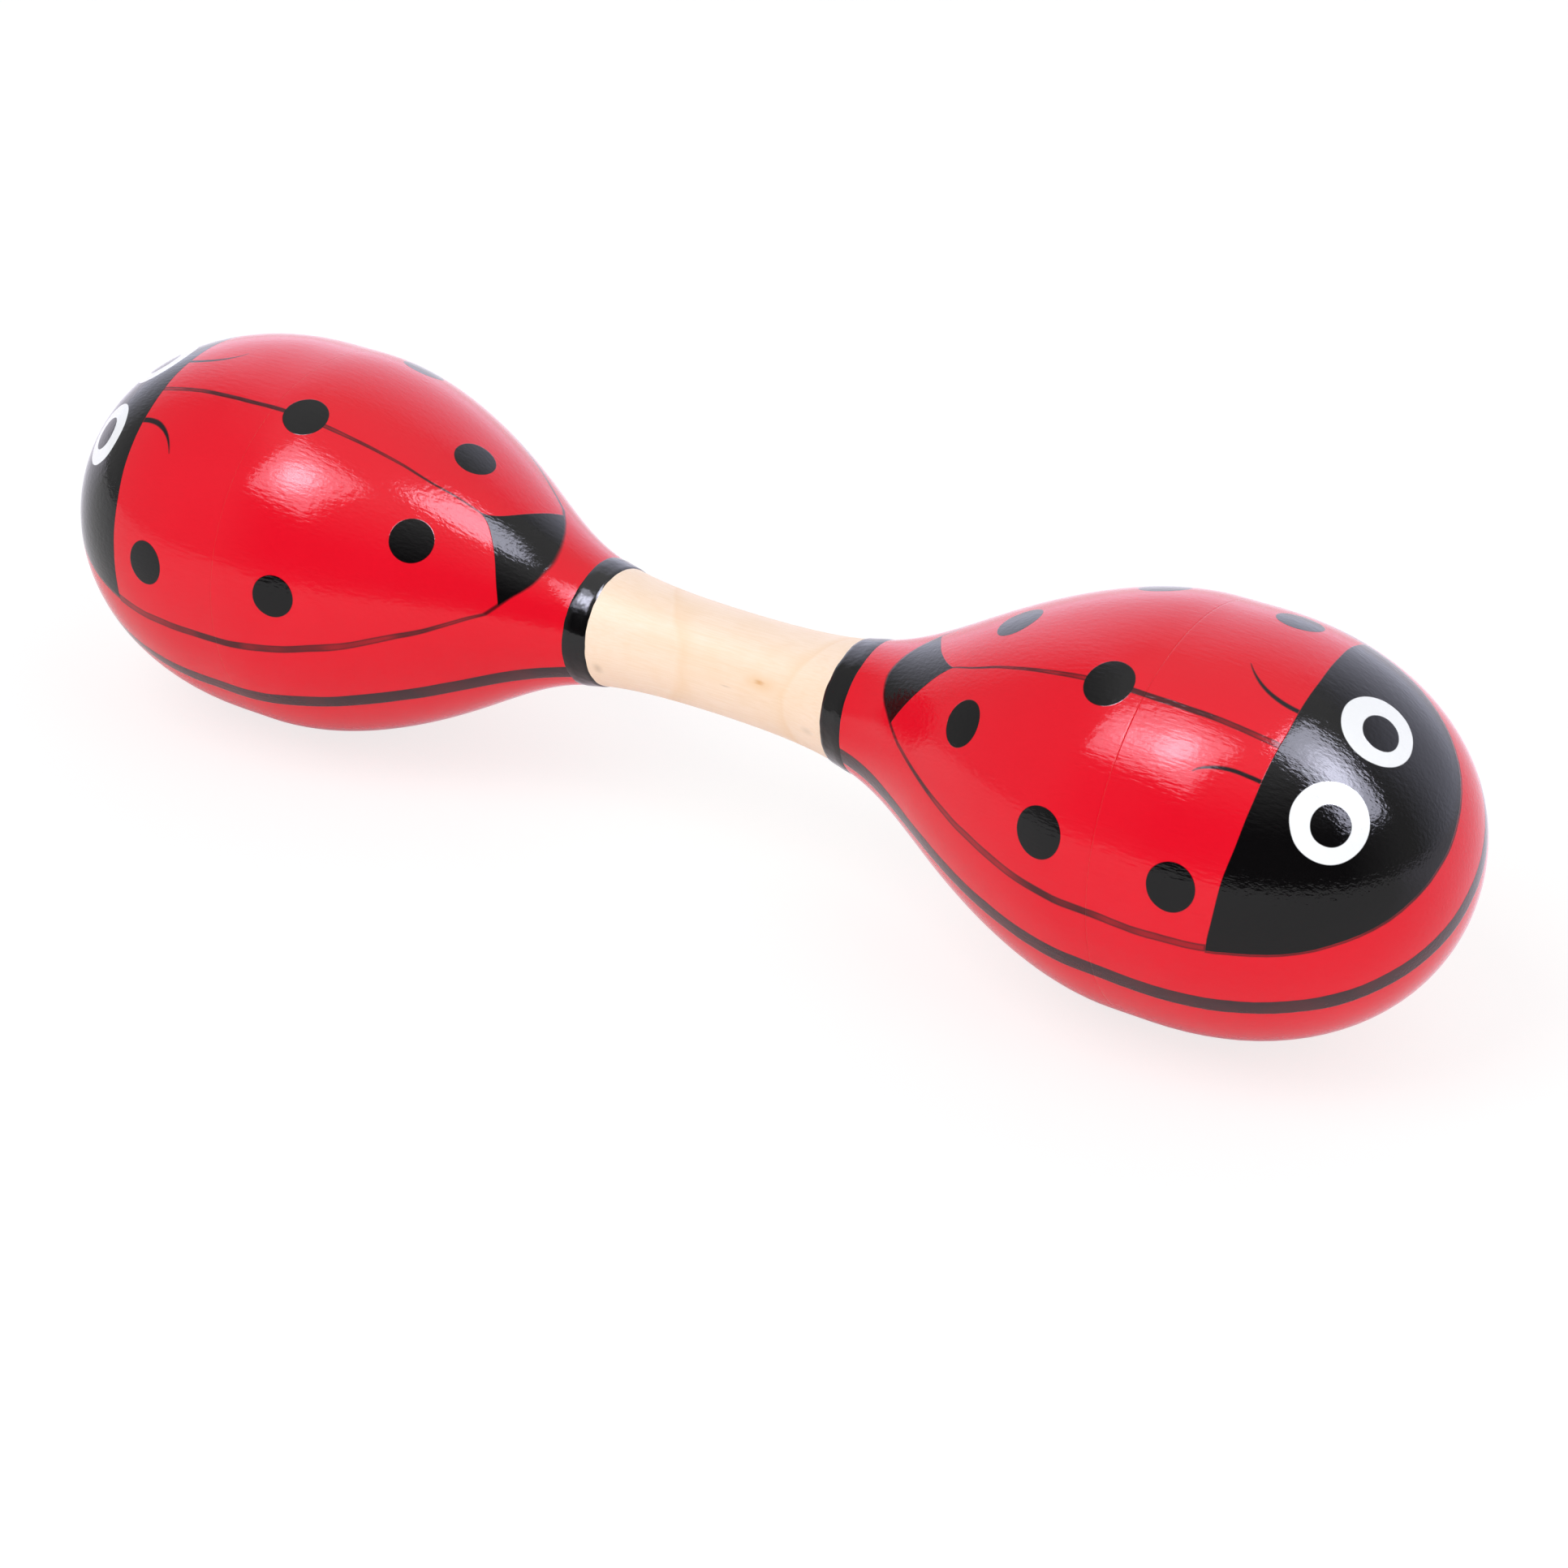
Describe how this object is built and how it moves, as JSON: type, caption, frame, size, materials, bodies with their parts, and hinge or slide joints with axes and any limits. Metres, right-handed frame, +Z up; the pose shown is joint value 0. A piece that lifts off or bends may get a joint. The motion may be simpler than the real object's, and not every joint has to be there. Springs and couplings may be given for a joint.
{
  "type": "double maraca",
  "caption": "Wooden double maraca: hollow egg-shaped bulbs on a waisted bare-wood grip, each a glued two-part shell with loose pellets sealed inside to rattle.",
  "frame": {"origin": "on the surface the maraca lies on, straight under the middle of the grip", "axes": "+X along the turning axis towards the right bulb, +Y away from the viewer, +Z up from the surface"},
  "size_m": [0.23, 0.0574, 0.0574],
  "materials": {
    "bare_wood": "bare pale wood under a clear satin varnish",
    "lacquered_wood": "wood under gloss red lacquer with black painted decoration",
    "pellet_steel": "plain steel shot"
  },
  "bodies": {
    "wooden_body": {"grip": "bare_wood", "left_neck_shell": "lacquered_wood", "left_cap_shell": "lacquered_wood", "right_neck_shell": "lacquered_wood", "right_cap_shell": "lacquered_wood"},
    "left_pellet_01": {"left_pellet_01": "pellet_steel"},
    "left_pellet_02": {"left_pellet_02": "pellet_steel"},
    "left_pellet_03": {"left_pellet_03": "pellet_steel"},
    "left_pellet_04": {"left_pellet_04": "pellet_steel"},
    "left_pellet_05": {"left_pellet_05": "pellet_steel"},
    "left_pellet_06": {"left_pellet_06": "pellet_steel"},
    "left_pellet_07": {"left_pellet_07": "pellet_steel"},
    "left_pellet_08": {"left_pellet_08": "pellet_steel"},
    "left_pellet_09": {"left_pellet_09": "pellet_steel"},
    "left_pellet_10": {"left_pellet_10": "pellet_steel"},
    "right_pellet_01": {"right_pellet_01": "pellet_steel"},
    "right_pellet_02": {"right_pellet_02": "pellet_steel"},
    "right_pellet_03": {"right_pellet_03": "pellet_steel"},
    "right_pellet_04": {"right_pellet_04": "pellet_steel"},
    "right_pellet_05": {"right_pellet_05": "pellet_steel"},
    "right_pellet_06": {"right_pellet_06": "pellet_steel"},
    "right_pellet_07": {"right_pellet_07": "pellet_steel"},
    "right_pellet_08": {"right_pellet_08": "pellet_steel"},
    "right_pellet_09": {"right_pellet_09": "pellet_steel"},
    "right_pellet_10": {"right_pellet_10": "pellet_steel"}
  },
  "joints": [
    {"name": "left_rattle_01", "type": "slide", "parent": "wooden_body", "child": "left_pellet_01", "axis": [0, 0, 1], "range_m": [0, 0.0385]},
    {"name": "left_rattle_02", "type": "slide", "parent": "wooden_body", "child": "left_pellet_02", "axis": [0, 0, 1], "range_m": [0, 0.0388]},
    {"name": "left_rattle_03", "type": "slide", "parent": "wooden_body", "child": "left_pellet_03", "axis": [0, 0, 1], "range_m": [0, 0.0385]},
    {"name": "left_rattle_04", "type": "slide", "parent": "wooden_body", "child": "left_pellet_04", "axis": [0, 0, 1], "range_m": [0, 0.0388]},
    {"name": "left_rattle_05", "type": "slide", "parent": "wooden_body", "child": "left_pellet_05", "axis": [0, 0, 1], "range_m": [0, 0.0399]},
    {"name": "left_rattle_06", "type": "slide", "parent": "wooden_body", "child": "left_pellet_06", "axis": [0, 0, 1], "range_m": [0, 0.0399]},
    {"name": "left_rattle_07", "type": "slide", "parent": "wooden_body", "child": "left_pellet_07", "axis": [0, 0, 1], "range_m": [0, 0.0393]},
    {"name": "left_rattle_08", "type": "slide", "parent": "wooden_body", "child": "left_pellet_08", "axis": [0, 0, 1], "range_m": [0, 0.0385]},
    {"name": "left_rattle_09", "type": "slide", "parent": "wooden_body", "child": "left_pellet_09", "axis": [0, 0, 1], "range_m": [0, 0.0388]},
    {"name": "left_rattle_10", "type": "slide", "parent": "wooden_body", "child": "left_pellet_10", "axis": [0, 0, 1], "range_m": [0, 0.0385]},
    {"name": "right_rattle_01", "type": "slide", "parent": "wooden_body", "child": "right_pellet_01", "axis": [0, 0, 1], "range_m": [0, 0.0385]},
    {"name": "right_rattle_02", "type": "slide", "parent": "wooden_body", "child": "right_pellet_02", "axis": [0, 0, 1], "range_m": [0, 0.0388]},
    {"name": "right_rattle_03", "type": "slide", "parent": "wooden_body", "child": "right_pellet_03", "axis": [0, 0, 1], "range_m": [0, 0.0385]},
    {"name": "right_rattle_04", "type": "slide", "parent": "wooden_body", "child": "right_pellet_04", "axis": [0, 0, 1], "range_m": [0, 0.0388]},
    {"name": "right_rattle_05", "type": "slide", "parent": "wooden_body", "child": "right_pellet_05", "axis": [0, 0, 1], "range_m": [0, 0.0399]},
    {"name": "right_rattle_06", "type": "slide", "parent": "wooden_body", "child": "right_pellet_06", "axis": [0, 0, 1], "range_m": [0, 0.0399]},
    {"name": "right_rattle_07", "type": "slide", "parent": "wooden_body", "child": "right_pellet_07", "axis": [0, 0, 1], "range_m": [0, 0.0393]},
    {"name": "right_rattle_08", "type": "slide", "parent": "wooden_body", "child": "right_pellet_08", "axis": [0, 0, 1], "range_m": [0, 0.0385]},
    {"name": "right_rattle_09", "type": "slide", "parent": "wooden_body", "child": "right_pellet_09", "axis": [0, 0, 1], "range_m": [0, 0.0388]},
    {"name": "right_rattle_10", "type": "slide", "parent": "wooden_body", "child": "right_pellet_10", "axis": [0, 0, 1], "range_m": [0, 0.0385]}
  ]
}
